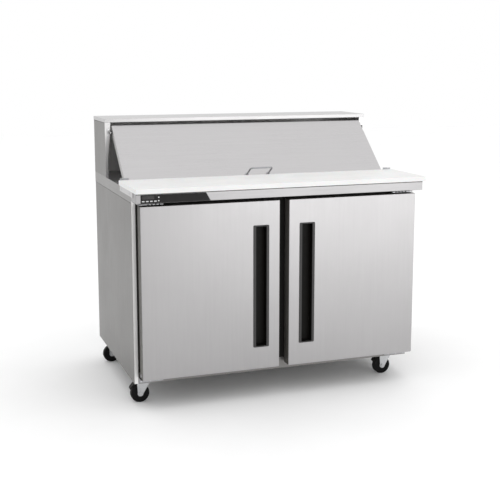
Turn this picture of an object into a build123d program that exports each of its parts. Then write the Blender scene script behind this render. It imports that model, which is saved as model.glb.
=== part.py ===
from build123d import *
from math import cos, radians, sin
import os

# A two-door refrigerated sandwich prep table on casters, in millimetres.
# Origin on the floor under the middle of the overall box, +Z up, the doors face -Y.

# ---------------------------------------------------------------- driving dimensions
cabinet_width = 1219.0
cabinet_depth = 724.0
board_overhang = 104.0
base_z = 100.0
worktop_z = 868.0
hood_top_z = 1118.0
hood_depth = 246.5
skirt_height = 44.0
sheet = 1.2

half_width = cabinet_width / 2
face_y = board_overhang / 2 - cabinet_depth / 2
rear_y = face_y + cabinet_depth

# cabinet shell and cold compartment, depths measured back from the front face
shell_half = half_width - sheet
shell_top = worktop_z - sheet
flange_width = 16.0
liner_wall = 1.5
cavity_half = 555.0
cavity_floor = 150.0
cavity_ceiling = 820.0
step_z = 560.0
lower_depth = 490.0
upper_depth = 676.0
frame_thickness = 8.0
mullion_half = 50.0
opening_bottom = 158.0
opening_top = 786.0
frame_top = 828.0
machine_top = 520.0
machine_front = 532.0
machine_half = 560.0
sill_top = 146.0

# pan well in the worktop
pan_count = 6
pan_pitch = 178.0
pan_width = 176.0
pan_length = 325.0
pan_depth = 100.0
pan_sheet = 0.9
pan_corner = 22.0
pan_rim = 5.0
well_front = 272.0
well_length = 316.0
well_half = (pan_count - 1) / 2 * pan_pitch + 85
bar_width = 10.0

# fascia and control plate
fascia_depth = 82.5
fascia_bottom = 830.5
fascia_top = worktop_z - 1.0
plate_left = -590.0
plate_top_length = 257.0
plate_bottom_length = 275.0
plate_thickness = 1.5
key_count = 4
key_pitch = 15.6
key_width = 10.0
key_height = 4.4
key_travel = 0.8

# cutting board
board_width = 1228.0
board_depth = 303.0
board_thickness = 19.0
board_gap = 0.4

# doors
door_outer = 587.5
door_inner = 20.9
door_bottom = 129.0
door_top = 814.7
door_front = 62.5
door_back = 12.0
skin_wrap = 4.0
gasket_inset = 13.5
gasket_width = 14.0
gasket_gap = 0.5
pivot_x = 577.5
pivot_depth = 30.0
pin_radius = 5.0
pin_clearance = 0.05
pin_length = 16.0

# recessed door pull
pull_inner = 65.5
pull_width = 67.0
pull_bottom = 218.8
pull_height = 500.0
pull_side_border = 11.0
pull_end_border = 5.0
pull_cup_depth = 30.0
pull_wall = 2.5
pull_proud = 2.0

# hood and lid
lip_height = 15.5
hood_flange_top = 24.0
hood_flange_low = 12.0
hood_flange_taper_top = 1062.0
hood_flange_taper_low = 955.0
lid_half = 581.0
lid_thickness = 26.0
lid_angle = 41.0
lid_foot_depth = 222.0
lid_foot_z = 871.0
lid_length = 340.0
lid_pivot_along = 302.0
lid_nose = 9.0
lid_pin_radius = 4.0
lid_pin_length = 14.0
ear_x = 589.0
ear_thickness = 3.0
ear_boss = 7.5
ear_foot = 11.0
lid_pull_centre = -6.0
lid_pull_span = 96.0
lid_pull_rod = 3.5
lid_pull_reach = 64.0

# casters
wheel_radius = 38.0
wheel_width = 24.0
caster_trail = 28.0
caster_x = 543.5
caster_front = 75.0
caster_rear = 85.0
axle_radius = 4.0
swivel_radius = 6.0
fork_half = 14.0
fork_sheet = 2.5
crown_low = 86.0
crown_high = 90.6
brake_pin = (-36.0, 80.0)
brake_pin_radius = 2.5
running = 0.05

# machine bay and cold plate
compressor_radius = 82.0
compressor_x = -330.0
bay_middle = (532.0 + 721.0) / 2
condenser_x = 200.0
condenser_z = 270.0
condenser_fan_radius = 112.0
evaporator_x = 160.0
evaporator_z = 690.0
evaporator_fan_radius = 62.0
shaft_radius = 3.0
line_radius = 4.0

# shelves
shelf_z = 400.0
wire = 5.0

os.makedirs("parts", exist_ok=True)
made = []


def save(part, name):
    """Label one finished piece and write it as its own STEP."""
    part.label = name
    export_step(part, f"parts/{name}.step")
    made.append(part)


def depth(d):
    """Y of a point d behind the cabinet's front face."""
    return face_y + d


def block(x0, x1, y0, y1, z0, z1, mode=Mode.ADD):
    """A box between two corners, inside the current part."""
    with Locations(((x0 + x1) / 2, (y0 + y1) / 2, (z0 + z1) / 2)):
        Box(abs(x1 - x0), abs(y1 - y0), abs(z1 - z0), mode=mode)


# ---------------------------------------------------------------- cabinet shell
for side, side_name in ((-1, "left"), (1, "right")):
    # outer side sheet with its front and rear flanges
    with BuildPart() as side_panel:
        outer, inner = side * shell_half, side * (shell_half - flange_width)
        block(outer, side * (shell_half - sheet), face_y, rear_y - sheet, base_z, shell_top)
        block(outer, inner, face_y, face_y + sheet, base_z, shell_top)
        block(outer, inner, rear_y - 2 * sheet, rear_y - sheet, base_z, shell_top)
    save(side_panel.part, f"side_panel_{side_name}")

# rear sheet from the base to under the shelf, with the machine opening
with BuildPart() as rear_panel:
    block(-shell_half, shell_half, rear_y - sheet, rear_y, base_z, hood_top_z - sheet)
    block(-machine_half, machine_half, rear_y - sheet, rear_y, base_z + 20, machine_top - 12, Mode.SUBTRACT)
save(rear_panel.part, "rear_panel")

# folded base pan with the front sill turned up under the doors
inner_half = shell_half - sheet
with BuildPart() as base_pan:
    block(-inner_half, inner_half, face_y + sheet, rear_y - 2 * sheet, base_z, base_z + sheet)
    sill_half = shell_half - flange_width
    block(-sill_half, sill_half, face_y, face_y + sheet, base_z, sill_top)
    block(-inner_half, inner_half, rear_y - 3 * sheet, rear_y - 2 * sheet, base_z, base_z + 20)
save(base_pan.part, "base_pan")

# louvred grille over the machine opening
grille_half = machine_half + 12
louvre_pitch = 26.0
louvre_count = 13
louvre_length = 230.0
louvre_columns = 4
louvre_column_pitch = 270.0
louvre_low = base_z + 48
louvre_middle = louvre_low + (louvre_count - 1) / 2 * louvre_pitch
with BuildPart() as rear_grille:
    with BuildSketch(Plane.XZ.offset(sheet - rear_y)):
        with Locations((0, (base_z + machine_top) / 2 + 10)):
            Rectangle(2 * grille_half, machine_top - base_z - 22)
        with Locations((0, louvre_middle)):
            with GridLocations(louvre_column_pitch, louvre_pitch, louvre_columns, louvre_count):
                Rectangle(louvre_length, 10, mode=Mode.SUBTRACT)
    extrude(amount=sheet)
    with BuildSketch(Plane.YZ.offset(-louvre_columns * louvre_column_pitch / 2)):
        blade_z = [louvre_low + 5 + row * louvre_pitch for row in range(louvre_count)]
        with Locations(*[(rear_y - 2 * sheet, z) for z in blade_z]):
            Polygon((0, 0), (0, 2), (-7, -7), (-7, -9), align=None)
    extrude(amount=louvre_columns * louvre_column_pitch)
save(rear_grille.part, "rear_grille")

# ---------------------------------------------------------------- insulation, liner and face frame


def cavity_outline(grow):
    """Side outline of the cold compartment, stepped over the machine bay, grown by a wall."""
    return (
        (depth(frame_thickness), cavity_floor - grow),
        (depth(lower_depth + grow), cavity_floor - grow),
        (depth(lower_depth + grow), step_z - grow),
        (depth(upper_depth + grow), step_z - grow),
        (depth(upper_depth + grow), cavity_ceiling + grow),
        (depth(frame_thickness), cavity_ceiling + grow),
    )


well_y0 = depth(well_front)
well_y1 = depth(well_front + well_length)
hollows = {}
for hollow_name, grow in (("inner", 0), ("outer", liner_wall)):
    # cold compartment and pan well as one solid, at the liner's inner or outer face
    with BuildPart() as hollow:
        with BuildSketch(Plane.YZ.offset(-cavity_half - grow)):
            Polygon(*cavity_outline(grow), align=None)
        extrude(amount=2 * (cavity_half + grow))
        well_x = well_half + grow
        block(-well_x, well_x, well_y0 - grow, well_y1 + grow, cavity_ceiling - 1, shell_top)
    hollows[hollow_name] = hollow.part

with BuildPart() as cabinet_insulation:
    block(-inner_half, inner_half, depth(frame_thickness), rear_y - 3 * sheet, base_z + sheet, shell_top)
    add(hollows["outer"], mode=Mode.SUBTRACT)
    block(-machine_half, machine_half, depth(machine_front), rear_y, base_z, machine_top, Mode.SUBTRACT)
    block(-grille_half, grille_half, rear_y - 4 * sheet - 8, rear_y, base_z, machine_top, Mode.SUBTRACT)
save(cabinet_insulation.part, "cabinet_insulation")

with BuildPart() as interior_liner:
    add(hollows["outer"])
    add(hollows["inner"], mode=Mode.SUBTRACT)
save(interior_liner.part, "interior_liner")

# dark frame that the gaskets close on, with the centre mullion between its two openings
frame_half = shell_half - flange_width
with BuildPart() as face_frame:
    block(-frame_half, frame_half, face_y, depth(frame_thickness), sill_top, frame_top)
    block(-frame_half, frame_half, face_y + sheet, depth(frame_thickness), base_z + sheet, sill_top)
    for side in (-1, 1):
        block(
            side * mullion_half,
            side * cavity_half,
            face_y - 1,
            depth(frame_thickness) + 1,
            opening_bottom,
            opening_top,
            Mode.SUBTRACT,
        )
save(face_frame.part, "face_frame")

# ---------------------------------------------------------------- worktop and fascia
with BuildPart() as worktop:
    block(-half_width, half_width, face_y, rear_y - sheet, worktop_z - sheet, worktop_z)
    block(-well_half, well_half, well_y0, well_y1, worktop_z - sheet, worktop_z, Mode.SUBTRACT)
    for side in (-1, 1):
        skirt_low = worktop_z - skirt_height
        block(side * half_width, side * shell_half, face_y, rear_y - sheet, skirt_low, worktop_z - sheet)
    block(-frame_half, frame_half, face_y, face_y + sheet, frame_top, worktop_z - sheet)
save(worktop.part, "worktop")

front_y = face_y - fascia_depth
window_left = plate_left + 2.5
window_length = 78.0
with BuildPart() as fascia:
    block(-half_width, half_width, front_y, front_y + sheet, fascia_bottom, fascia_top)
    block(-half_width, half_width, front_y, face_y, fascia_top - sheet, fascia_top)
    block(-half_width, half_width, front_y, front_y + 24, fascia_bottom, fascia_bottom + sheet)
    for side in (-1, 1):
        inner = side * (half_width - sheet)
        block(side * half_width, inner, front_y, face_y, fascia_bottom, fascia_top)
    block(
        window_left, window_left + window_length, front_y, front_y + sheet,
        fascia_bottom + 3, fascia_top - 6, Mode.SUBTRACT,
    )
save(fascia.part, "fascia")

# angles on the worktop's ends that carry the cutting board
bracket_half = half_width + 2
with BuildPart() as board_brackets:
    for side in (-1, 1):
        block(side * half_width, side * bracket_half, depth(-40), depth(186), worktop_z - 20, worktop_z + 1)
        block(side * half_width, side * (half_width - 32), depth(2), depth(186), worktop_z, worktop_z + 1)
save(board_brackets.part, "board_brackets")

with BuildPart() as cutting_board:
    with BuildSketch(Plane.XY.offset(worktop_z + 1 + board_gap)):
        with Locations((0, depth(-board_overhang) + board_depth / 2)):
            RectangleRounded(board_width, board_depth, 5)
    extrude(amount=board_thickness)
    fillet(cutting_board.faces().sort_by(Axis.Z)[-1].edges(), 1.5)
    chamfer(cutting_board.faces().sort_by(Axis.Z)[0].edges(), 1.0)
save(cutting_board.part, "cutting_board")

# ---------------------------------------------------------------- control plate, window and keys
plate_bottom = fascia_bottom + 1
plate_top = fascia_top - 4
key_z = plate_bottom + 7.5
key_x = [plate_left + 9.5 + index * key_pitch for index in range(key_count)]
window_z = plate_bottom + 21.5
window_x = plate_left + 29
window_size = (46, 13)
lamp_x = plate_left + 70
lamp_radius = 2.6
lamp_z = (key_z + 1, key_z + 14)
plate_front = face_y - fascia_depth - plate_thickness
with BuildPart() as control_plate:
    with BuildSketch(Plane.XZ.offset(-(face_y - fascia_depth))):
        Polygon(
            (plate_left, plate_bottom),
            (plate_left + plate_bottom_length, plate_bottom),
            (plate_left + plate_top_length, plate_top),
            (plate_left, plate_top),
            align=None,
        )
        with Locations(*[(x, key_z) for x in key_x]):
            Rectangle(key_width + 0.6, key_height + 0.6, mode=Mode.SUBTRACT)
        with Locations((window_x, window_z)):
            Rectangle(*window_size, mode=Mode.SUBTRACT)
        with Locations(*[(lamp_x, z) for z in lamp_z]):
            Circle(lamp_radius, mode=Mode.SUBTRACT)
    extrude(amount=plate_thickness)
save(control_plate.part, "control_plate")

# display window with the two lamp lenses
with BuildPart() as display_window:
    with BuildSketch(Plane.XZ.offset(-(plate_front + plate_thickness))):
        with Locations((window_x, window_z)):
            Rectangle(*window_size)
        with Locations(*[(lamp_x, z) for z in lamp_z]):
            Circle(lamp_radius)
    extrude(amount=plate_thickness - 0.4)
save(display_window.part, "display_window")

# electronics board behind the keys, then the keys themselves
key_front = plate_front - 1.2
key_back = key_front + 5.2
with BuildPart() as controller_board:
    board_y = key_back + key_travel + 0.6
    block(
        window_left + 3, window_left + window_length - 3, board_y, board_y + 1.6,
        fascia_bottom + 4, fascia_top - 6,
    )
save(controller_board.part, "controller_board")

for index, x in enumerate(key_x, start=1):
    with BuildPart() as key:
        with Locations((x, (key_front + key_back) / 2, key_z)):
            Box(key_width, key_back - key_front, key_height)
        fillet(key.faces().sort_by(Axis.Y)[0].edges(), 0.6)
    save(key.part, f"key_{index}")

# ---------------------------------------------------------------- hood
lip_y = depth(cabinet_depth - hood_depth)
hood_front_y = lip_y + sheet
shelf_under = hood_top_z - sheet
for side, side_name in ((-1, "left"), (1, "right")):
    # side sheet with its tapering front flange
    with BuildPart() as hood_side:
        block(side * half_width, side * shell_half, hood_front_y, rear_y - sheet, worktop_z, shelf_under)
        with BuildSketch(Plane.XZ.offset(-hood_front_y - sheet)):
            Polygon(
                (side * half_width, worktop_z),
                (side * half_width, shelf_under),
                (side * (half_width - hood_flange_top), shelf_under),
                (side * (half_width - hood_flange_top), hood_flange_taper_top),
                (side * (half_width - hood_flange_low), hood_flange_taper_low),
                (side * (half_width - hood_flange_low), worktop_z),
                align=None,
            )
        extrude(amount=sheet)
    save(hood_side.part, f"hood_side_{side_name}")

shelf_half = half_width + sheet
with BuildPart() as hood_shelf:
    block(-shelf_half, shelf_half, lip_y, rear_y, shelf_under, hood_top_z)
    block(-shelf_half, shelf_half, lip_y, hood_front_y, hood_top_z - lip_height, shelf_under)
    for side in (-1, 1):
        block(side * shelf_half, side * half_width, lip_y, rear_y, hood_top_z - lip_height, shelf_under)
save(hood_shelf.part, "hood_shelf")

# ---------------------------------------------------------------- lid
slope = radians(lid_angle)


def lid_point(along, out):
    """YZ point on the lid: distance up its slope from the foot, and out from its outer face."""
    return (
        depth(lid_foot_depth) + along * cos(slope) - out * sin(slope),
        lid_foot_z + along * sin(slope) + out * cos(slope),
    )


def lid_outline(inset):
    """Side outline of the lid, cut level at the foot, its outer and top faces moved in."""
    outer_run = inset / sin(slope)
    inner_run = lid_thickness / sin(slope)
    return (
        (depth(lid_foot_depth) + outer_run, lid_foot_z),
        lid_point(lid_length - inset, -inset),
        lid_point(lid_length - inset, -lid_thickness),
        (depth(lid_foot_depth) + inner_run, lid_foot_z),
    )


with BuildPart() as lid_liner:
    with BuildSketch(Plane.YZ.offset(-lid_half + sheet)) as lid_core_sketch:
        Polygon(*lid_outline(sheet), align=None)
        fillet(lid_core_sketch.vertices().sort_by(Axis.Y)[-1], lid_nose - sheet)
    extrude(amount=2 * (lid_half - sheet))
save(lid_liner.part, "lid_liner")

with BuildPart() as lid_skin:
    with BuildSketch(Plane.YZ.offset(-lid_half)) as lid_skin_sketch:
        Polygon(*lid_outline(0), align=None)
        fillet(lid_skin_sketch.vertices().sort_by(Axis.Y)[-1], lid_nose)
    extrude(amount=2 * lid_half)
    add(lid_liner.part, mode=Mode.SUBTRACT)
save(lid_skin.part, "lid_skin")

pivot_y, pivot_z = lid_point(lid_pivot_along, -lid_thickness / 2)
with BuildPart() as lid_hinge_pins:
    for side in (-1, 1):
        with Locations((side * (lid_half + 2.5), pivot_y, pivot_z)):
            Cylinder(ear_boss - 1.5, 5, rotation=(0, 90, 0))
        with Locations((side * (lid_half + lid_pin_length / 2), pivot_y, pivot_z)):
            Cylinder(lid_pin_radius, lid_pin_length, rotation=(0, 90, 0))
save(lid_hinge_pins.part, "lid_hinge_pins")

# ears on the hood flanges that the lid's pins turn in
with BuildPart() as lid_hinge_ears:
    for side in (-1, 1):
        foot_inner, foot_outer = side * ear_x, side * (ear_x + ear_foot)
        block(foot_inner, foot_outer, hood_front_y - 3, hood_front_y, pivot_z - 17, pivot_z + 17)
        ear_inner, ear_outer = side * ear_x, side * (ear_x + ear_thickness)
        block(ear_inner, ear_outer, pivot_y, hood_front_y - 3, pivot_z - ear_boss, pivot_z + ear_boss)
        with Locations((side * (ear_x + ear_thickness / 2), pivot_y, pivot_z)):
            Cylinder(ear_boss, ear_thickness, rotation=(0, 90, 0))
            Cylinder(lid_pin_radius + running, 3 * ear_thickness, rotation=(0, 90, 0), mode=Mode.SUBTRACT)
save(lid_hinge_ears.part, "lid_hinge_ears")

# bent-rod pull on two round bases, raked forward over the board
base_y, base_z0 = lid_point(22, 0)
rake = radians(31.5)
reach_dir = Vector(0, -cos(rake), sin(rake))
lid_normal = Vector(0, -sin(slope), cos(slope))
pull_origin = Vector(lid_pull_centre, base_y, base_z0)
pull_plane = Plane(origin=pull_origin, x_dir=(1, 0, 0), z_dir=Vector(1, 0, 0).cross(reach_dir))
half_span = lid_pull_span / 2
with BuildPart() as lid_pull:
    with BuildLine(pull_plane) as rod_path:
        FilletPolyline(
            (-half_span, 1.6),
            (-half_span, lid_pull_reach),
            (half_span, lid_pull_reach),
            (half_span, 1.6),
            radius=12,
        )
    with BuildSketch(Plane(origin=rod_path.line @ 0, z_dir=rod_path.line % 0)):
        Circle(lid_pull_rod)
    sweep()
    for side in (-1, 1):
        with BuildSketch(Plane(origin=pull_origin + Vector(side * half_span, 0, 0), z_dir=lid_normal)):
            Circle(9)
        extrude(amount=3.5)
save(lid_pull.part, "lid_pull")

# ---------------------------------------------------------------- food pans and divider bars
pan_middle = depth(well_front + well_length / 2)
pan_x = [(index - (pan_count - 1) / 2) * pan_pitch for index in range(pan_count)]
body_width = pan_width - 2 * pan_rim
body_length = pan_length - 2 * pan_rim - 8
with BuildPart() as food_pans:
    with BuildSketch(Plane.XY.offset(worktop_z)):
        with Locations(*[(x, pan_middle) for x in pan_x]):
            RectangleRounded(pan_width, pan_length, pan_corner + 4)
    extrude(amount=1)
    for wall, mode in ((0, Mode.ADD), (pan_sheet, Mode.SUBTRACT)):
        with BuildSketch(Plane.XY.offset(worktop_z + 1)):
            with Locations(*[(x, pan_middle) for x in pan_x]):
                RectangleRounded(body_width - 2 * wall, body_length - 2 * wall, pan_corner - wall)
        extrude(amount=wall - pan_depth, taper=3, mode=mode)
save(food_pans.part, "food_pans")

with BuildPart() as pan_divider_bars:
    for index in range(pan_count - 1):
        bar_x = (pan_x[index] + pan_x[index + 1]) / 2
        half_bar = bar_width / 2
        block(bar_x - half_bar, bar_x + half_bar, well_y0, well_y1, worktop_z - 9, worktop_z)
save(pan_divider_bars.part, "pan_divider_bars")

# ---------------------------------------------------------------- doors
pull_middle_z = pull_bottom + pull_height / 2
pull_centre = pull_inner + pull_width / 2
cup_width = pull_width - 2 * (pull_side_border - pull_wall)
cup_height = pull_height - 2 * (pull_end_border - pull_wall)
door_middle_x = (door_outer + door_inner) / 2
door_middle_z = (door_bottom + door_top) / 2
door_width = door_outer - door_inner
door_height = door_top - door_bottom
block_half = 9.0
block_height = 22.0


def front_plane(d):
    """Upright plane at depth d that faces the front, local X and Y along X and Z."""
    return Plane.XZ.offset(-depth(d))


for side, side_name in ((-1, "left"), (1, "right")):
    near, far = side * door_inner, side * door_outer
    with BuildPart() as door_skin:
        with BuildSketch(front_plane(-door_front + skin_wrap)):
            with Locations((side * door_middle_x, door_middle_z)):
                RectangleRounded(door_width, door_height, 1.5)
        extrude(amount=skin_wrap)
        block(
            near + side * sheet, far - side * sheet,
            depth(-door_front + sheet), depth(-door_front + skin_wrap),
            door_bottom + sheet, door_top - sheet, Mode.SUBTRACT,
        )
        with BuildSketch(front_plane(0)):
            with Locations((side * pull_centre, pull_middle_z)):
                Rectangle(cup_width, cup_height)
        extrude(amount=door_front + 1, mode=Mode.SUBTRACT)
        fillet(door_skin.faces().sort_by(Axis.Y)[0].outer_wire().edges(), 0.8)
    save(door_skin.part, f"door_skin_{side_name}")

    # insulated body behind the skin, with its edge trim, inner panel and pockets
    with BuildPart() as door_liner:
        block(near, far, depth(-door_front + skin_wrap), depth(-door_back), door_bottom, door_top)
        block(
            near + side * sheet, far - side * sheet,
            depth(-door_front + sheet), depth(-door_front + skin_wrap),
            door_bottom + sheet, door_top - sheet,
        )
        inset = gasket_inset + gasket_width + 6
        with BuildSketch(front_plane(-door_back)):
            with Locations((side * door_middle_x, door_middle_z)):
                RectangleRounded(door_width - 2 * inset, door_height - 2 * inset, 12)
        extrude(amount=-6, taper=20)
        with BuildSketch(front_plane(-door_front + pull_cup_depth)):
            with Locations((side * pull_centre, pull_middle_z)):
                Rectangle(cup_width, cup_height)
        extrude(amount=pull_cup_depth, mode=Mode.SUBTRACT)
        for end_z, inward in ((door_bottom, 1), (door_top, -1)):
            block(
                side * (pivot_x - block_half), side * (pivot_x + block_half),
                depth(-pivot_depth - 10), depth(-pivot_depth + 10),
                end_z, end_z + inward * block_height, Mode.SUBTRACT,
            )
    save(door_liner.part, f"door_liner_{side_name}")

    with BuildPart() as door_gasket:
        with BuildSketch(front_plane(-door_back)):
            with Locations((side * door_middle_x, door_middle_z)):
                RectangleRounded(door_width - 2 * gasket_inset, door_height - 2 * gasket_inset, 6)
                clear = gasket_inset + gasket_width
                RectangleRounded(door_width - 2 * clear, door_height - 2 * clear, 3, mode=Mode.SUBTRACT)
        extrude(amount=gasket_gap - door_back)
        fillet(door_gasket.faces().sort_by(Axis.Y)[-1].edges(), 2.5)
    save(door_gasket.part, f"door_gasket_{side_name}")

    # recessed pull: a bezel on the skin and a cup behind it
    with BuildPart() as door_pull:
        with BuildSketch(front_plane(-door_front)):
            with Locations((side * pull_centre, pull_middle_z)):
                RectangleRounded(pull_width, pull_height, 5)
        extrude(amount=pull_proud)
        with BuildSketch(front_plane(-door_front)):
            with Locations((side * pull_centre, pull_middle_z)):
                Rectangle(cup_width, cup_height)
        extrude(amount=-pull_cup_depth)
        with BuildSketch(front_plane(-door_front - pull_proud)):
            with Locations((side * pull_centre, pull_middle_z)):
                RectangleRounded(pull_width - 2 * pull_side_border, pull_height - 2 * pull_end_border, 2.4)
        extrude(amount=-(pull_proud + pull_cup_depth - pull_wall), mode=Mode.SUBTRACT)
        fillet(door_pull.faces().sort_by(Axis.Y)[0].outer_wire().edges(), 1.2)
    save(door_pull.part, f"door_pull_{side_name}")

    # nylon blocks in the door's outer corners that the bracket pins turn in
    with BuildPart() as door_pivot_blocks:
        for end_z, inward in ((door_bottom, 1), (door_top, -1)):
            block(
                side * (pivot_x - block_half), side * (pivot_x + block_half),
                depth(-pivot_depth - 10), depth(-pivot_depth + 10), end_z, end_z + inward * block_height,
            )
            with Locations((side * pivot_x, depth(-pivot_depth), end_z + inward * 7)):
                Cylinder(pin_radius + pin_clearance, 14, mode=Mode.SUBTRACT)
    save(door_pivot_blocks.part, f"door_pivot_blocks_{side_name}")

# four brackets: an upright leg on the cabinet, a rounded arm over the pivot and its pin, and a
# slotted plate that runs inwards along the cabinet's face
bracket_gap = 4.0
bracket_plate = 3.0
arm_half = 13.0
bracket_reach = 72.0
slot_pitch = 15.0
slot_width = 6.0
slot_depth = 12.0
with BuildPart() as door_hinge_brackets:
    for side in (-1, 1):
        for end_z, outward, leg in ((door_bottom, -1, 18), (door_top, 1, 8)):
            arm_near = end_z + outward * bracket_gap
            arm_far = arm_near + outward * bracket_plate
            arm_low, arm_high = min(arm_near, arm_far), max(arm_near, arm_far)
            with Locations((side * pivot_x, depth(-pivot_depth), (arm_low + arm_high) / 2)):
                Cylinder(arm_half, bracket_plate)
            pin_middle = end_z + outward * (bracket_gap - pin_length / 2)
            with Locations((side * pivot_x, depth(-pivot_depth), pin_middle)):
                Cylinder(pin_radius, pin_length)
            x0, x1 = side * (pivot_x - arm_half), side * (pivot_x + arm_half)
            plate_end = side * (pivot_x - arm_half - bracket_reach)
            plate_edge = depth(-pivot_depth - arm_half)
            block(x0, x1, depth(-pivot_depth), face_y, arm_low, arm_high)
            block(plate_end, side * pivot_x, plate_edge, face_y, arm_low, arm_high)
            block(plate_end, x1, face_y - 3, face_y, arm_near, arm_far + outward * leg)
            for index in range(4):
                slot_x = side * (pivot_x - arm_half - 12 - index * slot_pitch)
                block(
                    slot_x - slot_width / 2, slot_x + slot_width / 2,
                    plate_edge, plate_edge + slot_depth, arm_low, arm_high, Mode.SUBTRACT,
                )
save(door_hinge_brackets.part, "door_hinge_brackets")

# ---------------------------------------------------------------- casters
caster_places = {
    "front_left": (-caster_x, depth(caster_front)),
    "front_right": (caster_x, depth(caster_front)),
    "rear_left": (-caster_x, depth(cabinet_depth - caster_rear)),
    "rear_right": (caster_x, depth(cabinet_depth - caster_rear)),
}
plate_size = (92, 70)
bolt_pitch = (72, 50)
plate_low = base_z - 3
rivet_low = crown_low - 5.4
with BuildPart() as caster_plates:
    with Locations(*[(x, y, base_z - 1.5) for x, y in caster_places.values()]):
        Box(*plate_size, 3)
    with Locations(*[(x, y, (plate_low + crown_high + 0.4) / 2) for x, y in caster_places.values()]):
        Cylinder(20, plate_low - crown_high - 0.4)
    with Locations(*[(x, y, (plate_low + rivet_low) / 2) for x, y in caster_places.values()]):
        Cylinder(swivel_radius, plate_low - rivet_low)
    with Locations(*[(x, y, rivet_low + 2.5) for x, y in caster_places.values()]):
        Cylinder(10, 5)
    fillet(caster_plates.edges().filter_by(Axis.Z).filter_by(lambda edge: abs(edge.length - 3) < 0.01), 6)
save(caster_plates.part, "caster_plates")

wheel_x = -caster_trail
for name, (caster_px, caster_py) in caster_places.items():
    braked = name.startswith("front")
    # fork: crown under the race, two raked legs, the axle with its nuts
    with BuildPart() as caster_fork:
        with BuildSketch(Plane.XY.offset(crown_low)):
            with Locations((caster_px, caster_py)):
                Circle(21)
            with Locations((caster_px + wheel_x / 2 - 1, caster_py)):
                Rectangle(30, 2 * (fork_half + fork_sheet))
        extrude(amount=crown_high - crown_low)
        for leg_side in (-1, 1):
            leg_inner = caster_py + leg_side * fork_half
            leg_plane = Plane(origin=(caster_px, leg_inner, 0), x_dir=(1, 0, 0), z_dir=(0, leg_side, 0))
            up = -leg_side
            with BuildSketch(leg_plane):
                Polygon(
                    (-42, up * crown_high),
                    (11, up * crown_high),
                    (10, up * (crown_low - 5)),
                    (wheel_x + 12, up * (wheel_radius - 1)),
                    (wheel_x - 11, up * (wheel_radius - 3)),
                    align=None,
                )
                with Locations((wheel_x, up * wheel_radius)):
                    Circle(12)
            extrude(amount=fork_sheet)
            nut_y = caster_py + leg_side * (fork_half + fork_sheet + 2)
            with Locations((caster_px + wheel_x, nut_y, wheel_radius)):
                Cylinder(7, 4, rotation=(90, 0, 0))
        with Locations((caster_px + wheel_x, caster_py, wheel_radius)):
            Cylinder(axle_radius, 2 * fork_half + 2, rotation=(90, 0, 0))
        if braked:
            with Locations((caster_px + brake_pin[0], caster_py, brake_pin[1])):
                Cylinder(brake_pin_radius, 2 * fork_half + 2, rotation=(90, 0, 0))
        with Locations((caster_px, caster_py, (crown_low + crown_high) / 2)):
            Cylinder(swivel_radius + running, crown_high - crown_low, mode=Mode.SUBTRACT)
    save(caster_fork.part, f"caster_fork_{name}")

    with BuildPart() as caster_wheel:
        with Locations((caster_px + wheel_x, caster_py, wheel_radius)):
            Cylinder(wheel_radius, wheel_width, rotation=(90, 0, 0))
            fillet(caster_wheel.edges().filter_by(GeomType.CIRCLE), 4)
            for face_side in (-1, 1):
                recess = (caster_px + wheel_x, caster_py + face_side * (wheel_width / 2 - 1.5), wheel_radius)
                with BuildSketch(Plane(origin=recess, z_dir=(0, face_side, 0))):
                    Circle(27)
                extrude(amount=3, mode=Mode.SUBTRACT)
            Cylinder(11, 2 * fork_half - 1.0, rotation=(90, 0, 0))
            Cylinder(axle_radius + running, 2 * fork_half, rotation=(90, 0, 0), mode=Mode.SUBTRACT)
    save(caster_wheel.part, f"caster_wheel_{name}")

    if braked:
        # brake pedal over the trailing side of the wheel
        with BuildPart() as brake_pedal:
            pedal_plane = Plane(
                origin=(caster_px, caster_py + fork_half - 1, 0), x_dir=(1, 0, 0), z_dir=(0, -1, 0)
            )
            with BuildSketch(pedal_plane):
                Polygon(
                    (-36, 76), (-39, 78.5), (-50, 74.5), (-62, 64), (-69, 56.5), (-70, 60), (-66, 68),
                    (-52, 82), (-40, 85), (-34, 84), align=None,
                )
                with Locations(brake_pin):
                    Circle(4)
            extrude(amount=2 * fork_half - 2)
            with Locations((caster_px + brake_pin[0], caster_py, brake_pin[1])):
                Cylinder(brake_pin_radius + running, 2 * fork_half, rotation=(90, 0, 0), mode=Mode.SUBTRACT)
        save(brake_pedal.part, f"brake_pedal_{name}")

# ---------------------------------------------------------------- refrigeration
bay_y = depth(bay_middle)
bay_floor = base_z + sheet
with BuildPart() as compressor:
    with Locations((compressor_x, bay_y, bay_floor + 14)):
        Cylinder(compressor_radius, 150, align=(Align.CENTER, Align.CENTER, Align.MIN))
    fillet(compressor.edges().filter_by(GeomType.CIRCLE).sort_by(Axis.Z)[-1], 45)
    fillet(compressor.edges().filter_by(GeomType.CIRCLE).sort_by(Axis.Z)[0], 12)
    block(compressor_x - 100, compressor_x + 100, bay_y - 60, bay_y + 60, bay_floor + 10, bay_floor + 16)
    with Locations((compressor_x, bay_y, bay_floor + 5)):
        with GridLocations(176, 96, 2, 2):
            Cylinder(9, 10)
    with Locations((compressor_x + 84, bay_y, bay_floor + 80)):
        Box(24, 60, 60)
save(compressor.part, "compressor")

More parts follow.
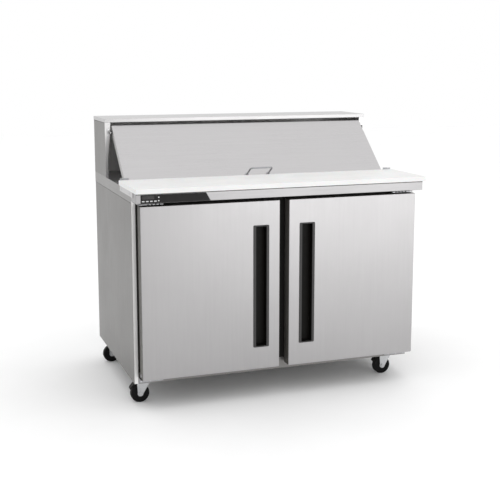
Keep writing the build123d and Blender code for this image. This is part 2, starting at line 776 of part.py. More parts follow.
# finned condenser coil, its shroud ring and the fan motor on a bracket
coil_y0, coil_y1 = bay_y + 30, bay_y + 76
coil_half_x, coil_half_z = 140.0, 140.0
fin_pitch = 7.0
fin_count = 37
with BuildPart() as condenser:
    block(
        condenser_x - coil_half_x, condenser_x + coil_half_x, coil_y0, coil_y1,
        condenser_z - coil_half_z, condenser_z + coil_half_z,
    )
    with BuildSketch(Plane.XZ.offset(-coil_y1)):
        with Locations((condenser_x, condenser_z)):
            with GridLocations(fin_pitch, 1, fin_count, 1):
                Rectangle(4.5, 2 * coil_half_z - 16)
    extrude(amount=16, mode=Mode.SUBTRACT)
    with BuildSketch(Plane.XZ.offset(-coil_y0)):
        with Locations((condenser_x, condenser_z)):
            Rectangle(2 * coil_half_x, 2 * coil_half_z)
            Circle(condenser_fan_radius + 6, mode=Mode.SUBTRACT)
    extrude(amount=18)
    with Locations((condenser_x, bay_y - 42, condenser_z)):
        Cylinder(32, 44, rotation=(90, 0, 0))
    with Locations((condenser_x, bay_y - 10, condenser_z)):
        Cylinder(shaft_radius, 40, rotation=(90, 0, 0))
    block(condenser_x - 20, condenser_x + 20, bay_y - 62, bay_y - 24, bay_floor, condenser_z - 20)
    block(condenser_x - 20, condenser_x + 20, bay_y - 62, coil_y1, bay_floor, bay_floor + 3)
    for side in (-1, 1):
        foot_x = condenser_x + side * (coil_half_x - 12)
        block(foot_x - 10, foot_x + 10, coil_y0 - 18, coil_y1, bay_floor, condenser_z - coil_half_z)
        block(condenser_x, foot_x, coil_y1 - 20, coil_y1, bay_floor, bay_floor + 3)
save(condenser.part, "condenser")


def fan_blades(radius, hub, width):
    """Five pitched blades on a hub, on the current work plane with the shaft along its normal."""
    Cylinder(hub, width)
    with PolarLocations((radius + hub) / 2 - 2, 5):
        Box(radius - hub + 4, width * 1.3, 2.2, rotation=(28, 0, 0))
    Cylinder(shaft_radius + running, 2 * width, mode=Mode.SUBTRACT)


condenser_fan_plane = Plane(origin=(condenser_x, bay_y - 4, condenser_z), z_dir=(0, -1, 0))
with BuildPart(condenser_fan_plane) as condenser_fan:
    fan_blades(condenser_fan_radius, 24, 18)
save(condenser_fan.part, "condenser_fan")

# evaporator: finned block beside a fan housing, hung on the cold compartment's rear wall
evap_back = depth(upper_depth)
evap_front = evap_back - 56
evap_half_z = 84.0
evap_left = evaporator_x - 420
evap_right = evaporator_x - evap_half_z
with BuildPart() as evaporator:
    evap_low, evap_high = evaporator_z - evap_half_z, evaporator_z + evap_half_z
    block(evap_left, evap_right, evap_front, evap_back, evap_low, evap_high)
    with BuildSketch(Plane.XZ.offset(-evap_front)):
        with Locations(((evap_left + evap_right) / 2, evaporator_z)):
            with GridLocations(12, 1, 26, 1):
                Rectangle(8, 2 * evap_half_z - 16)
    extrude(amount=-30, mode=Mode.SUBTRACT)
    with BuildSketch(Plane.XZ.offset(-evap_back)):
        with Locations((evaporator_x, evaporator_z)):
            Rectangle(2 * evap_half_z, 2 * evap_half_z)
            Circle(evaporator_fan_radius + 6, mode=Mode.SUBTRACT)
    extrude(amount=56)
    with Locations((evaporator_x, evap_back - 12, evaporator_z)):
        Cylinder(20, 24, rotation=(90, 0, 0))
    with Locations((evaporator_x, evap_back - 33, evaporator_z)):
        Cylinder(shaft_radius, 26, rotation=(90, 0, 0))
    block(
        evaporator_x - evap_half_z, evaporator_x + evap_half_z, evap_back - 4, evap_back,
        evaporator_z - 8, evaporator_z + 8,
    )
save(evaporator.part, "evaporator")

evaporator_fan_plane = Plane(origin=(evaporator_x, evap_back - 36, evaporator_z), z_dir=(0, -1, 0))
with BuildPart(evaporator_fan_plane) as evaporator_fan:
    fan_blades(evaporator_fan_radius, 16, 12)
save(evaporator_fan.part, "evaporator_fan")

# copper lines in the machine bay: discharge to the coil, liquid and suction up through the bay's roof
line_y = bay_y + 52
shell_top_z = bay_floor + 14 + 150
line_routes = (
    (
        (compressor_x + 20, line_y - 20, shell_top_z - 8),
        (compressor_x + 20, line_y - 20, 330),
        (condenser_x - coil_half_x, line_y - 20, 330),
    ),
    ((condenser_x - coil_half_x, line_y, 380), (-10, line_y, 380), (-10, line_y, machine_top)),
)
with BuildPart() as refrigerant_lines:
    for route in line_routes:
        with BuildLine() as line_path:
            FilletPolyline(*route, radius=30)
        with BuildSketch(Plane(origin=line_path.line @ 0, z_dir=line_path.line % 0)):
            Circle(line_radius)
        sweep(path=line_path.line)
    suction_low = shell_top_z - 8
    with Locations((compressor_x - 20, line_y - 20, (suction_low + machine_top) / 2)):
        Cylinder(line_radius, machine_top - suction_low)
    add(compressor.part, mode=Mode.SUBTRACT)
save(refrigerant_lines.part, "refrigerant_lines")

# ---------------------------------------------------------------- shelves
cavity_front = depth(frame_thickness)
cavity_back = depth(lower_depth)
strip_low, strip_high = cavity_floor + 20, step_z - 30
side_strip_x = cavity_half - 4
centre_strip_x = 10.0
shelf_x0, shelf_x1 = 3.0, side_strip_x - 3
shelf_y0, shelf_y1 = cavity_front + 8, cavity_back - 8
wire_count = 19
with BuildPart() as wire_shelves:
    for side in (-1, 1):
        middle_x = side * (shelf_x0 + shelf_x1) / 2
        span_x = shelf_x1 - shelf_x0
        span_y = shelf_y1 - shelf_y0
        middle_y = (shelf_y0 + shelf_y1) / 2
        with Locations((middle_x, shelf_y0 + wire / 2, shelf_z), (middle_x, shelf_y1 - wire / 2, shelf_z)):
            Box(span_x, wire, wire)
        with Locations((middle_x, middle_y, shelf_z)):
            with GridLocations(span_x - wire, 1, 2, 1):
                Box(wire, span_y, wire)
        with Locations((middle_x, middle_y, shelf_z)):
            with GridLocations(span_x / (wire_count + 1), 1, wire_count, 1):
                Box(3, span_y, 3)
            with GridLocations(1, span_y / 3, 1, 2):
                Box(span_x, wire, wire)
save(wire_shelves.part, "wire_shelves")

clip_top = shelf_z - wire / 2
with BuildPart() as shelf_pilasters:
    for side in (-1, 1):
        for strip_y in (cavity_front + 60, cavity_back - 60):
            block(side * side_strip_x, side * cavity_half, strip_y - 10, strip_y + 10, strip_low, strip_high)
            clip_x = side * (side_strip_x - 14)
            block(clip_x, side * side_strip_x, strip_y - 8, strip_y + 8, clip_top - 4, clip_top)
    for strip_y, inward in ((cavity_front, 1), (cavity_back, -1)):
        block(-centre_strip_x, centre_strip_x, strip_y, strip_y + inward * 4, strip_low, strip_high)
        block(-16, 16, strip_y + inward * 4, strip_y + inward * 20, clip_top - 4, clip_top)
save(shelf_pilasters.part, "shelf_pilasters")

# ---------------------------------------------------------------- fasteners
with BuildPart() as fasteners:
    for caster_px, caster_py in caster_places.values():
        with BuildSketch(Plane.XY.offset(plate_low)):
            with Locations((caster_px, caster_py)):
                with GridLocations(*bolt_pitch, 2, 2):
                    RegularPolygon(6.5, 6)
        extrude(amount=-4)
    for side in (-1, 1):
        with Locations(*[(side * (pivot_x - dx), face_y - 4, door_bottom - 18) for dx in (-4, 32, 68)]):
            Cylinder(3.6, 2, rotation=(90, 0, 0))
        with Locations(*[(side * (bracket_half + 0.5), depth(d), worktop_z - 11) for d in (20, 160)]):
            Cylinder(4, 1, rotation=(0, 90, 0))
        grille_screw_z = (base_z + 34, (base_z + machine_top) / 2, machine_top - 26)
        with Locations(*[(side * (machine_half - 14), rear_y - sheet / 2, z) for z in grille_screw_z]):
            Cylinder(5, sheet, rotation=(90, 0, 0))
        with Locations(*[(side * (ear_x + 7), hood_front_y - 3.5, pivot_z + dz) for dz in (-13.5, 13.5)]):
            Cylinder(2.6, 1.0, rotation=(90, 0, 0))
save(fasteners.part, "fasteners")

print(len(made), "pieces")
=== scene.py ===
import bmesh
import bpy
import math
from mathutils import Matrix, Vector


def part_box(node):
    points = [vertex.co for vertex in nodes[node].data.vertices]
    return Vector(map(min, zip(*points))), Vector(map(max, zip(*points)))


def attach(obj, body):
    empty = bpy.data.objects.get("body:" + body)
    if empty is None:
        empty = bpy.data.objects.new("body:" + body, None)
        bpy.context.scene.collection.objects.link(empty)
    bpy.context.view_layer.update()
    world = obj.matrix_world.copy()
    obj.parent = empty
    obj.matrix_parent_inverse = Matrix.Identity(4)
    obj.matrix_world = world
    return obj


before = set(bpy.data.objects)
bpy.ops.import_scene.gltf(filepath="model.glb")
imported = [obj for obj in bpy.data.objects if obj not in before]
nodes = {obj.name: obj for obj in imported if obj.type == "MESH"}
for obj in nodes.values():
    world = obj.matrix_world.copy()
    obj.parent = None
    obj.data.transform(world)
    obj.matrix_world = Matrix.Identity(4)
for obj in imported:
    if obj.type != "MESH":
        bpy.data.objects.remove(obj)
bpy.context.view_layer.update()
scene = bpy.context.scene


# ------------------------------------------------------------ material kit
class Mat:
    """A material being wired: one Principled shader, object coordinates and a few helpers."""

    def __init__(self, name, **uniform):
        self.m = bpy.data.materials.new(name)
        self.m.use_nodes = True
        self.t = self.m.node_tree
        self.t.nodes.clear()
        self.out = self.t.nodes.new("ShaderNodeOutputMaterial")
        self.s = self.t.nodes.new("ShaderNodeBsdfPrincipled")
        self.t.links.new(self.s.outputs["BSDF"], self.out.inputs["Surface"])
        self.coord = self.t.nodes.new("ShaderNodeTexCoord").outputs["Object"]
        for key, value in uniform.items():
            self.set(key.replace("_", " "), value)

    def set(self, key, value):
        socket = self.s.inputs[key]
        socket.default_value = (*value, 1.0) if isinstance(value, tuple) and len(value) == 3 else value

    def mapped(self, scale=(1, 1, 1)):
        n = self.t.nodes.new("ShaderNodeMapping")
        self.t.links.new(self.coord, n.inputs["Vector"])
        n.inputs["Scale"].default_value = scale
        return n.outputs["Vector"]

    def noise(self, size, scale=(1, 1, 1), detail=3.0, rough=0.5, distortion=0.0):
        n = self.t.nodes.new("ShaderNodeTexNoise")
        self.t.links.new(self.mapped(scale), n.inputs["Vector"])
        n.inputs["Scale"].default_value = size
        n.inputs["Detail"].default_value = detail
        n.inputs["Roughness"].default_value = rough
        n.inputs["Distortion"].default_value = distortion
        return n.outputs["Fac"]

    def cells(self, size, scale=(1, 1, 1), feature="F1", output="Distance"):
        n = self.t.nodes.new("ShaderNodeTexVoronoi")
        n.feature = feature
        self.t.links.new(self.mapped(scale), n.inputs["Vector"])
        n.inputs["Scale"].default_value = size
        return n.outputs[output]

    def wave(self, size, axis="X", distortion=0.0):
        n = self.t.nodes.new("ShaderNodeTexWave")
        n.bands_direction = axis
        self.t.links.new(self.mapped(), n.inputs["Vector"])
        n.inputs["Scale"].default_value = size
        n.inputs["Distortion"].default_value = distortion
        return n.outputs["Fac"]

    def ramp(self, fac, low, high, a=0.35, b=0.65):
        """A value (numbers) or a colour (triples) that goes from low to high as fac goes from a to b."""
        if isinstance(low, float):
            n = self.t.nodes.new("ShaderNodeMapRange")
            self.t.links.new(fac, n.inputs["Value"])
            for key, value in (("From Min", a), ("From Max", b), ("To Min", low), ("To Max", high)):
                n.inputs[key].default_value = value
            return n.outputs["Result"]
        n = self.t.nodes.new("ShaderNodeValToRGB")
        self.t.links.new(fac, n.inputs["Fac"])
        for stop, place, colour in zip(n.color_ramp.elements, (a, b), (low, high)):
            stop.position = place
            stop.color = (*colour, 1)
        return n.outputs["Color"]

    def mix(self, first, second, share):
        n = self.t.nodes.new("ShaderNodeMix")
        n.inputs["Factor"].default_value = share
        self.t.links.new(first, n.inputs["A"])
        self.t.links.new(second, n.inputs["B"])
        return n.outputs["Result"]

    def link(self, output, key):
        self.t.links.new(output, self.s.inputs[key])

    def bump(self, height, distance, strength=1.0, under=None):
        n = self.t.nodes.new("ShaderNodeBump")
        n.inputs["Strength"].default_value = strength
        n.inputs["Distance"].default_value = distance
        self.t.links.new(height, n.inputs["Height"])
        if under is not None:
            self.t.links.new(under, n.inputs["Normal"])
        self.link(n.outputs["Normal"], "Normal")
        return n.outputs["Normal"]


def scaled(colour, k):
    return tuple(min(c * k, 1.0) for c in colour)


def varied(m, fac, colour, spread, a=0.35, b=0.65):
    """The base colour, a share of spread darker to lighter as fac goes from a to b."""
    m.link(m.ramp(fac, scaled(colour, 1 - spread), scaled(colour, 1 + spread), a, b), "Base Color")


def brushed(name, colour, grain, rough=(0.30, 0.42), spread=0.05, metallic=1.0):
    """Stainless sheet: rolled bands and fine lines along one axis, over soft cloudy smears."""
    m = Mat(name, Metallic=metallic)
    fine = {"X": (0.012, 1, 1), "Y": (1, 0.012, 1), "Z": (1, 1, 0.012)}[grain]
    wide = {"X": (0.03, 1, 1), "Y": (1, 0.03, 1), "Z": (1, 1, 0.03)}[grain]
    lines = m.noise(900, fine, 2.0, 0.6)
    bands = m.noise(110, wide, 4.0, 0.7)
    cloud = m.noise(3.2, (1, 1, 1), 3.0, 0.55, 0.4)
    tone = m.mix(m.mix(cloud, bands, 0.55), lines, 0.25)
    varied(m, tone, colour, spread, 0.38, 0.62)
    m.link(m.ramp(m.mix(lines, cloud, 0.4), rough[0], rough[1]), "Roughness")
    m.bump(lines, 0.00002, 0.5)
    return m.m


def galvanised(name, colour):
    """Zinc-coated sheet with its spangle."""
    m = Mat(name, Metallic=1.0)
    spangle = m.cells(95, output="Color")
    m.link(m.ramp(spangle, scaled(colour, 0.93), scaled(colour, 1.04), 0.1, 0.9), "Base Color")
    m.link(m.ramp(m.noise(45, detail=4.0), 0.38, 0.55), "Roughness")
    m.bump(m.noise(260), 0.00003, 0.4)
    return m.m


def plastic(name, colour, rough, grain=900, depth=0.00008, spread=0.06, shine=0.5):
    """Moulded plastic with a fine spark-eroded grain."""
    m = Mat(name, Specular_IOR_Level=shine)
    varied(m, m.noise(9, detail=4.0), colour, spread)
    m.link(m.ramp(m.noise(60), rough * 0.88, min(rough * 1.12, 1.0)), "Roughness")
    m.bump(m.cells(grain), depth, 0.5)
    return m.m


def polished(name, colour, rough):
    """Plated or polished metal with hairline scratches."""
    m = Mat(name, Metallic=1.0)
    hair = m.noise(700, (0.05, 1, 1), 2.0)
    m.link(m.ramp(m.noise(30), scaled(colour, 0.96), scaled(colour, 1.03)), "Base Color")
    m.link(m.ramp(hair, rough * 0.7, rough * 1.4, 0.3, 0.7), "Roughness")
    m.bump(hair, 0.000008, 0.4)
    return m.m


def foam_material():
    m = Mat("pale_foam", Roughness=0.95)
    m.link(m.ramp(m.noise(14), (0.70, 0.60, 0.36), (0.84, 0.76, 0.52)), "Base Color")
    m.bump(m.cells(420), 0.0006, 0.6)
    return m.m


def liner_material():
    m = Mat("stucco_aluminium", Metallic=1.0)
    stucco = m.noise(140, detail=1.0, distortion=0.6)
    m.link(m.ramp(m.noise(4), (0.66, 0.66, 0.66), (0.76, 0.76, 0.76)), "Base Color")
    m.link(m.ramp(stucco, 0.34, 0.5), "Roughness")
    m.bump(stucco, 0.0004, 0.5)
    return m.m


def board_material():
    """Cutting board: faint knife marks along it over a matte grain."""
    m = Mat("board_polyethylene", Subsurface_Weight=0.08, Subsurface_Scale=0.004)
    cuts = m.noise(60, (1.0, 7.0, 1.0), 6.0, 0.62, 0.6)
    m.link(m.ramp(m.noise(11, detail=4.0), (0.70, 0.70, 0.695), (0.74, 0.74, 0.735)), "Base Color")
    m.link(m.ramp(cuts, 0.42, 0.56), "Roughness")
    matte = m.bump(m.cells(1100), 0.00006, 0.5)
    m.bump(cuts, 0.00012, 0.35, matte)
    return m.m


def board_circuit():
    m = Mat("circuit_board", Coat_Weight=0.5)
    tracks = m.cells(260, (1, 1, 2), "DISTANCE_TO_EDGE")
    m.link(m.ramp(tracks, (0.16, 0.42, 0.18), (0.02, 0.16, 0.06), 0.03, 0.08), "Base Color")
    m.link(m.ramp(m.noise(80), 0.3, 0.5), "Roughness")
    m.bump(tracks, 0.0001, 0.5)
    return m.m


def finned(name, colour):
    """Rows of thin fins across X, with painted shade darkening the gaps between them."""
    m = Mat(name, Metallic=1.0)
    fins = m.wave(75, "X")
    m.link(m.ramp(fins, scaled(colour, 0.25), colour, 0.2, 0.7), "Base Color")
    m.link(m.ramp(m.noise(50), 0.32, 0.5), "Roughness")
    m.bump(fins, 0.0008, 0.8)
    return m.m


def enamel(name, colour, rough):
    m = Mat(name, Coat_Weight=0.6, Coat_Roughness=0.15)
    varied(m, m.noise(18), colour, 0.15)
    m.link(m.ramp(m.noise(40), rough * 0.8, rough * 1.2), "Roughness")
    m.bump(m.noise(160, detail=1.0), 0.0002, 0.35)
    return m.m


def copper_material():
    m = Mat("copper_tube", Metallic=1.0)
    m.link(m.ramp(m.noise(40, detail=5.0), (0.50, 0.22, 0.12), (0.78, 0.42, 0.28)), "Base Color")
    m.link(m.ramp(m.noise(90), 0.24, 0.45), "Roughness")
    m.bump(m.noise(300), 0.00004, 0.4)
    return m.m


def rubber(name, colour, rough, shine=0.3):
    m = Mat(name, Specular_IOR_Level=shine)
    m.link(m.ramp(m.noise(24, detail=5.0), scaled(colour, 0.8), scaled(colour, 1.25)), "Base Color")
    m.link(m.ramp(m.noise(120), rough * 0.85, min(rough * 1.1, 1.0)), "Roughness")
    m.bump(m.cells(1400), 0.00005, 0.5)
    return m.m


# ------------------------------------------------------------ the materials
front_steel = brushed("stainless_door_front", (0.375, 0.368, 0.371), "Z", (0.30, 0.40), spread=0.032)
# darker copy of the stainless for the cabinet's sides and base: painted shade on the faces turned away
# from the light
side_painted_shade_steel = brushed("stainless_side_painted_shade", (0.205, 0.200, 0.195), "Z", (0.34, 0.46))
long_steel = brushed("stainless_long_grain", (0.50, 0.495, 0.497), "X", (0.28, 0.40))
lid_steel = brushed("stainless_lid", (0.43, 0.422, 0.426), "X", (0.26, 0.38), spread=0.035)
fascia_steel = brushed("stainless_fascia", (0.33, 0.325, 0.328), "X", (0.30, 0.42))
pan_steel = brushed("stainless_pan", (0.60, 0.60, 0.60), "X", (0.22, 0.34))
# lighter copy of the stainless for the hood's front flanges: painted highlight
flange_painted_highlight_steel = brushed("stainless_flange_painted_highlight", (0.60, 0.595, 0.595), "Z", (0.30, 0.40))
# much lighter copy of the stainless for the front faces of the side panels: painted highlight
post_painted_highlight_steel = brushed("stainless_front_post_painted_highlight", (0.74, 0.735, 0.73), "Z", (0.30, 0.40))
# darker copy of the stainless for the worktop's side faces: painted shade
skirt_painted_shade_steel = brushed("stainless_skirt_painted_shade", (0.25, 0.245, 0.24), "Y", (0.30, 0.42))
# very light, half-diffuse copy of the stainless for faces inside the hood: painted light in place of light
# that doesn't reach there
hood_inside_painted_light_steel = brushed("stainless_hood_inside_painted_light", (0.86, 0.85, 0.84), "Z", (0.40, 0.55), metallic=0.45)
# darker copy of the stainless for the lid's end faces: painted shade
lid_end_painted_shade_steel = brushed("stainless_lid_end_painted_shade", (0.40, 0.395, 0.39), "Z", (0.40, 0.55), metallic=0.5)
plain_zinc = galvanised("galvanised_sheet", (0.58, 0.59, 0.60))

foam = foam_material()
liner = liner_material()
board = board_material()
circuit = board_circuit()
fins = finned("aluminium_fins_shaded_gaps", (0.74, 0.74, 0.75))
copper = copper_material()
black_enamel = enamel("black_enamel", (0.02, 0.02, 0.021), 0.3)
wire_epoxy = enamel("white_epoxy_wire", (0.80, 0.80, 0.79), 0.35)

# near-black plastic on the face frame: painted shade in the gap between the doors
face_frame_painted_shade_plastic = plastic("face_frame_plastic_painted_shade", (0.014, 0.013, 0.012), 0.55, shine=0.16)
edge_plastic = plastic("door_edge_plastic", (0.095, 0.090, 0.083), 0.5, shine=0.4)
lid_plastic = plastic("lid_liner_plastic", (0.50, 0.50, 0.50), 0.5, spread=0.025)
black_plastic = plastic("pull_black_plastic", (0.0055, 0.005, 0.0042), 0.42, shine=0.09)
frame_plastic = plastic("pull_border_plastic", (0.035, 0.034, 0.034), 0.45, shine=0.3)
fan_plastic = plastic("fan_black_plastic", (0.03, 0.03, 0.03), 0.45)
label_film = plastic("control_plate_film", (0.014, 0.013, 0.013), 0.38, 1600, 0.00003, shine=0.15)
key_plastic = plastic("key_grey_plastic", (0.55, 0.55, 0.56), 0.4, 1600, 0.00003)
glass = plastic("display_dark_window", (0.030, 0.028, 0.028), 0.10, 2400, 0.00001, shine=0.4)
lamp_lens = plastic("lamp_white_lens", (0.80, 0.80, 0.80), 0.25, 2400, 0.00001)
hub_plastic = plastic("wheel_hub_grey", (0.16, 0.16, 0.165), 0.4)

# dark grey for the beads and the strip that paint shadow lines
painted_shadow_line_rubber = rubber("painted_shadow_line_grey", (0.075, 0.073, 0.070), 0.6)
gasket = rubber("gasket_black_rubber", (0.022, 0.022, 0.022), 0.6)
wheel_rubber = rubber("wheel_black_rubber", (0.004, 0.004, 0.004), 0.42, 0.10)
tread_rubber = rubber("wheel_tread_worn", (0.010, 0.010, 0.0095), 0.6, 0.15)

# darkened steel on the lid's hinge pins and ears: painted shade, so they sink into the shaded gap
hinge_painted_shade_steel = polished("hinge_steel_painted_shade", (0.17, 0.17, 0.17), 0.40)
bracket_steel = polished("bracket_plated_steel", (0.36, 0.36, 0.37), 0.30)
# chrome darkened to stand in for dark reflections: painted reflection
pull_chrome_painted_dark_reflection = polished("lid_pull_chrome_painted_dark_reflection", (0.33, 0.33, 0.34), 0.10)
zinc = polished("zinc_plated_steel", (0.62, 0.63, 0.65), 0.32)
fork_zinc = polished("caster_fork_zinc", (0.50, 0.505, 0.515), 0.26)

SIDES = ("left", "right")
CASTERS = ("front_left", "front_right", "rear_left", "rear_right")
KEYS = range(1, 5)

by_node = {
    "base_pan": side_painted_shade_steel, "worktop": long_steel, "fascia": fascia_steel, "hood_shelf": long_steel,
    "lid_skin": lid_steel, "board_brackets": long_steel, "pan_divider_bars": pan_steel,
    "food_pans": pan_steel, "rear_panel": plain_zinc, "rear_grille": plain_zinc,
    "shelf_pilasters": plain_zinc, "cabinet_insulation": foam, "interior_liner": liner,
    "face_frame": face_frame_painted_shade_plastic, "lid_liner": lid_plastic, "cutting_board": board,
    "control_plate": label_film, "display_window": glass, "controller_board": circuit,
    # hinge pins and ears: darkened steel as painted shade
    "lid_pull": pull_chrome_painted_dark_reflection, "lid_hinge_pins": hinge_painted_shade_steel, "lid_hinge_ears": hinge_painted_shade_steel,
    "door_hinge_brackets": bracket_steel, "fasteners": zinc, "caster_plates": zinc,
    "compressor": black_enamel, "condenser": fins, "evaporator": fins,
    "condenser_fan": fan_plastic, "evaporator_fan": fan_plastic,
    "refrigerant_lines": copper, "wire_shelves": wire_epoxy,
}
by_side = {
    "side_panel_": side_painted_shade_steel, "hood_side_": side_painted_shade_steel, "door_skin_": front_steel,
    "door_liner_": edge_plastic, "door_gasket_": gasket, "door_pull_": black_plastic,
    "door_pivot_blocks_": black_plastic, "brake_pedal_front_": black_plastic,
}
for side in SIDES:
    by_node.update({stem + side: material for stem, material in by_side.items()})
for corner in CASTERS:
    by_node["caster_fork_" + corner] = fork_zinc
    by_node["caster_wheel_" + corner] = wheel_rubber
for number in KEYS:
    by_node[f"key_{number}"] = key_plastic

for name, obj in nodes.items():
    obj.data.materials.clear()
    obj.data.materials.append(by_node[name])


# ------------------------------------------------------------ second materials on some faces
FACING = 0.9            # least share of a face's normal along an axis for it to look that way
PULL_BORDER = 0.0012    # depth of the grey border at the front of a door pull
TREAD_RADIUS = 0.0355   # the tread's faces lie outside this radius
HUB_RADIUS = 0.0135     # the hub's faces lie inside this one
LAMPS_WIDTH = 0.008     # the lamps are this near the right end of the display window's node


def paint(node, material, chosen):
    """A second material on the faces of a CAD piece whose centre and normal are chosen."""
    mesh = nodes[node].data
    mesh.materials.append(material)
    slot = len(mesh.materials) - 1
    for face in mesh.polygons:
        if chosen(face.center, face.normal):
            face.material_index = slot


def faces_front(c, n):
    return n.y < -FACING


def faces_side(c, n):
    return abs(n.x) > FACING


for side, inward in zip(SIDES, (1, -1)):
    # front faces of the side panels get the painted highlight
    paint("side_panel_" + side, post_painted_highlight_steel, faces_front)
    # front faces of the hood sides get the painted highlight
    paint("hood_side_" + side, flange_painted_highlight_steel, faces_front)
    # inner faces of the hood sides get the painted light
    paint("hood_side_" + side, hood_inside_painted_light_steel, lambda c, n: n.x * inward > FACING)
    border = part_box("door_pull_" + side)[0].y + PULL_BORDER
    paint("door_pull_" + side, frame_plastic, lambda c, n: c.y < border)
for corner in CASTERS:
    low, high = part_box("caster_wheel_" + corner)
    axle = (low + high) / 2
    wheel = "caster_wheel_" + corner
    paint(wheel, tread_rubber, lambda c, n: math.hypot(c.x - axle.x, c.z - axle.z) > TREAD_RADIUS)
    paint(wheel, hub_plastic, lambda c, n: math.hypot(c.x - axle.x, c.z - axle.z) < HUB_RADIUS)
# side faces of the worktop get the painted shade
paint("worktop", skirt_painted_shade_steel, faces_side)
# the ears' front and outward faces get the flange's painted highlight; their other faces keep the painted
# shade
paint("lid_hinge_ears", flange_painted_highlight_steel, lambda c, n: n.y < -FACING or n.x * c.x > FACING * abs(c.x))
# end faces of the lid get the painted shade
paint("lid_skin", lid_end_painted_shade_steel, faces_side)
# the inside face of the rear panel gets the painted light
paint("rear_panel", hood_inside_painted_light_steel, faces_front)
lamps_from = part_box("display_window")[1].x - LAMPS_WIDTH
paint("display_window", lamp_lens, lambda c, n: c.x > lamps_from)

# ------------------------------------------------------------ edges of the CAD pieces
WELD = 0.00002          # points nearer than this are one point
SHARP = math.radians(40)
EDGE_STEPS = 3
soft_edges = {
    "lid_skin": 0.0014, "hood_shelf": 0.0012, "worktop": 0.0008, "fascia": 0.0012,
    "cutting_board": 0.0015, "food_pans": 0.0004,
}
for side in SIDES:
    soft_edges.update({
        "door_skin_" + side: 0.0016, "door_pull_" + side: 0.0010,
        "side_panel_" + side: 0.0006, "hood_side_" + side: 0.0005,
    })
for name, width in soft_edges.items():
    obj = nodes[name]
    weld = obj.modifiers.new("weld", "WELD")
    weld.merge_threshold = WELD
    bevel = obj.modifiers.new("soft_edges", "BEVEL")
    bevel.width = width
    bevel.segments = EDGE_STEPS
    bevel.limit_method = "ANGLE"
    bevel.angle_limit = SHARP
    bevel.harden_normals = True


# ------------------------------------------------------------ small fittings added to the CAD
def fitting(name, shape, material, body, round_over=0.0):
    """A piece from a shape's points and faces, normals outward, edges rounded over, on a body."""
    points, faces = shape
    mesh = bpy.data.meshes.new(name)
    mesh.from_pydata(points, [], faces)
    shell = bmesh.new()
    shell.from_mesh(mesh)
    bmesh.ops.recalc_face_normals(shell, faces=shell.faces)
    shell.to_mesh(mesh)
    shell.free()
    piece = bpy.data.objects.new(name, mesh)
    scene.collection.objects.link(piece)
    mesh.materials.append(material)
    if round_over:
        rounding = piece.modifiers.new("rounded", "BEVEL")
        rounding.width = round_over
        rounding.segments = EDGE_STEPS
        rounding.limit_method = "ANGLE"
    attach(piece, body)


def drawn(section, axis, low, high):
    """The shape of a closed section drawn along X (section in y, z) or Y (section in x, z)."""
    place = {"X": lambda t, a, b: (t, a, b), "Y": lambda t, a, b: (a, t, b)}[axis]
    count = len(section)
    points = [place(t, a, b) for t in (low, high) for a, b in section]
    sides = [(i, (i + 1) % count, count + (i + 1) % count, count + i) for i in range(count)]
    ends = [tuple(range(count)), tuple(range(2 * count - 1, count - 1, -1))]
    return points, sides + ends


def turned(outline, centre, sign, steps):
    """A shape turned about X: the outline gives (distance out along X, radius) from the centre."""
    points, faces = [], []
    for out, radius in outline:
        for k in range(steps):
            turn = 2 * math.pi * k / steps
            y, z = radius * math.cos(turn), radius * math.sin(turn)
            points.append((centre[0] + sign * out, centre[1] + y, centre[2] + z))
    for ring in range(len(outline) - 1):
        for k in range(steps):
            a, b = ring * steps + k, ring * steps + (k + 1) % steps
            faces.append((a, b, b + steps, a + steps))
    last = (len(outline) - 1) * steps
    return points, faces + [tuple(range(steps)), tuple(range(last, last + steps))]


def half_width(box):
    return max(abs(box[0].x), abs(box[1].x))


top_low, top_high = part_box("worktop")
shelf_low, shelf_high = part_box("hood_shelf")
board_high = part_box("cutting_board")[1]
fascia_low, fascia_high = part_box("fascia")

# dark beads that paint the shadow line under an overhanging sheet: height, how far they stand out, and how
# far they stop short of their sheet's ends
BEAD_HEIGHT, BEAD_TOP, BEAD_FOOT = 0.0026, 0.0011, 0.0009
SKIRT_SHORT, LIP_SHORT_FRONT, LIP_SHORT_BACK = 0.001, 0.004, 0.002
# board stops: sheet, gap behind the board, rise above it, foot, and ends measured in from the side
STOP_SHEET, STOP_GAP, STOP_RISE, STOP_FOOT = 0.0016, 0.0015, 0.0075, 0.012
STOP_INNER, STOP_OUTER = 0.0385, 0.0015
# hinge bushes: outline, and centre measured from the middle and the foot of the door's edge
BUSH_STEPS = 32
BUSH = [
    (0, 0.0068), (0.0010, 0.0068), (0.0016, 0.0060), (0.0016, 0.0042),
    (0.0007, 0.0036), (0.0007, 0.0018), (0.0014, 0.0012),
]
BUSH_BACK, BUSH_UP = 0.004, 0.012
# dark strip that paints the shadow under the board's overhang: how far it stands out, its foot and top
# below the fascia's top, and its short ends
STRIP_OUT, STRIP_FOOT, STRIP_TOP, STRIP_SHORT = 0.0012, 0.0032, 0.0002, 0.001


def painted_shadow_bead(name, sign, wall, under, front, back):
    """A dark bead on an upright wall, just under the sheet that overhangs it: a painted shadow line."""
    section = [
        (sign * wall, under), (sign * (wall + BEAD_TOP), under),
        (sign * (wall + BEAD_FOOT), under - 0.6 * BEAD_HEIGHT), (sign * wall, under - BEAD_HEIGHT),
    ]
    bead = drawn(section, "Y", front, back)
    fitting(name, bead, painted_shadow_line_rubber, "cabinet", round_over=0.0003)


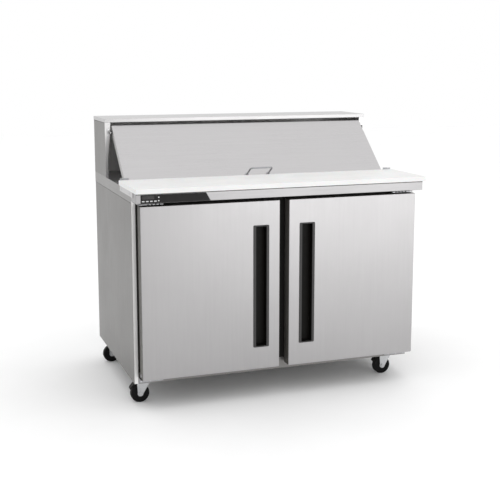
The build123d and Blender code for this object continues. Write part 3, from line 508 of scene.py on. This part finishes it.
def board_stop(name, sign):
    """A folded stop on the worktop behind the board's rear corner."""
    front, foot, rise = board_high.y + STOP_GAP, top_high.z, board_high.z + STOP_RISE
    section = [
        (front, foot), (front, rise), (front + STOP_SHEET, rise), (front + STOP_SHEET, foot + STOP_SHEET),
        (front + STOP_FOOT, foot + STOP_SHEET), (front + STOP_FOOT, foot),
    ]
    side = abs(top_low.x)
    low, high = sorted((sign * (side - STOP_INNER), sign * (side - STOP_OUTER)))
    stop = drawn(section, "X", low, high)
    fitting(name, stop, bracket_steel, "cabinet", round_over=0.0005)


def hinge_bush(name, sign, edge, body):
    """The slotted bush of the lower hinge, on the outer edge of a door."""
    outer = edge[0].x if sign < 0 else edge[1].x
    centre = (outer, (edge[0].y + edge[1].y) / 2 + BUSH_BACK, edge[0].z + BUSH_UP)
    bush = turned(BUSH, centre, sign, BUSH_STEPS)
    fitting(name, bush, bracket_steel, body)


for side, sign in zip(SIDES, (-1, 1)):
    skirt_wall = half_width(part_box("side_panel_" + side))
    hood_wall = half_width(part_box("hood_side_" + side))
    skirt_front, lip_front = top_low.y + SKIRT_SHORT, shelf_low.y + LIP_SHORT_FRONT
    lip_back = shelf_high.y - LIP_SHORT_BACK
    # dark beads under the worktop skirt and the shelf lip: painted shadow lines
    painted_shadow_bead("skirt_shadow_line_" + side, sign, skirt_wall, top_low.z, skirt_front, top_high.y)
    painted_shadow_bead("lip_shadow_line_" + side, sign, hood_wall, shelf_low.z, lip_front, lip_back)
    board_stop("board_stop_" + side, sign)
    hinge_bush("hinge_bush_" + side, sign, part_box("door_liner_" + side), "door_" + side)

# dark strip along the top of the fascia, under the board's overhang: painted shadow of the overhang
strip_low, strip_high = fascia_high.z - STRIP_FOOT, fascia_high.z - STRIP_TOP
strip_back, strip_front = fascia_low.y, fascia_low.y - STRIP_OUT
section = [
    (strip_back, strip_low), (strip_front, strip_low), (strip_front, strip_high), (strip_back, strip_high),
]
strip = drawn(section, "X", fascia_low.x + STRIP_SHORT, fascia_high.x - STRIP_SHORT)
fitting("fascia_shadow_strip", strip, painted_shadow_line_rubber, "cabinet", round_over=0.0004)

# ------------------------------------------------------------ stage, light, camera
scene.view_settings.view_transform = "Standard"

FLOOR_HALF = 14.0
floor_mesh = bpy.data.meshes.new("floor")
corners = [(x * FLOOR_HALF, y * FLOOR_HALF, 0) for x, y in ((-1, -1), (1, -1), (1, 1), (-1, 1))]
floor_mesh.from_pydata(corners, [], [(0, 1, 2, 3)])
floor = bpy.data.objects.new("floor", floor_mesh)
scene.collection.objects.link(floor)
floor_mat = Mat("pale_floor", Roughness=0.9)
floor_mat.link(floor_mat.ramp(floor_mat.noise(2.0), (0.90, 0.90, 0.90), (0.92, 0.92, 0.92)), "Base Color")
floor.data.materials.append(floor_mat.m)

world = bpy.data.worlds.new("studio")
scene.world = world
world.use_nodes = True
background = world.node_tree.nodes["Background"]
background.inputs["Color"].default_value = (1.0, 1.0, 1.0, 1)
background.inputs["Strength"].default_value = 1.0


def softbox(name, place, target, size, power):
    """A rectangular area light at a place, turned to a target and hidden from the camera."""
    data = bpy.data.lights.new(name, "AREA")
    data.shape = "RECTANGLE"
    data.size, data.size_y = size
    data.energy = power
    lamp = bpy.data.objects.new(name, data)
    scene.collection.objects.link(lamp)
    lamp.location = place
    lamp.visible_camera = False
    lamp.rotation_euler = (Vector(target) - Vector(place)).to_track_quat("-Z", "Y").to_euler()


softbox("overhead_softbox", (0.5, -0.5, 5.0), (0.2, -0.2, 0.0), (11.0, 9.0), 60)
softbox("front_card", (1.35, -2.95, 0.66), (0.1, -0.3, 0.55), (2.4, 1.15), 15)

sun_data = bpy.data.lights.new("soft_sun", "SUN")
sun_data.energy = 0.35
sun_data.angle = math.radians(90)
sun = bpy.data.objects.new("soft_sun", sun_data)
scene.collection.objects.link(sun)
sun.rotation_euler = (math.radians(20), math.radians(15), 0)

CAMERA_PLACE = (-1.4027, -3.8886, 1.3604)
CAMERA_YAW, CAMERA_PITCH = math.radians(19.656), math.radians(9.108)    # right of +Y, and down
camera_data = bpy.data.cameras.new("camera")
camera = bpy.data.objects.new("camera", camera_data)
scene.collection.objects.link(camera)
bpy.context.scene.camera = camera
camera_data.sensor_width = 36.0
camera_data.lens = 69.0984
camera_data.shift_y = -0.07
camera_data.clip_end = 60
camera.location = CAMERA_PLACE
look = Vector((
    math.sin(CAMERA_YAW) * math.cos(CAMERA_PITCH),
    math.cos(CAMERA_YAW) * math.cos(CAMERA_PITCH),
    -math.sin(CAMERA_PITCH),
))
camera.rotation_euler = look.to_track_quat("-Z", "Y").to_euler()
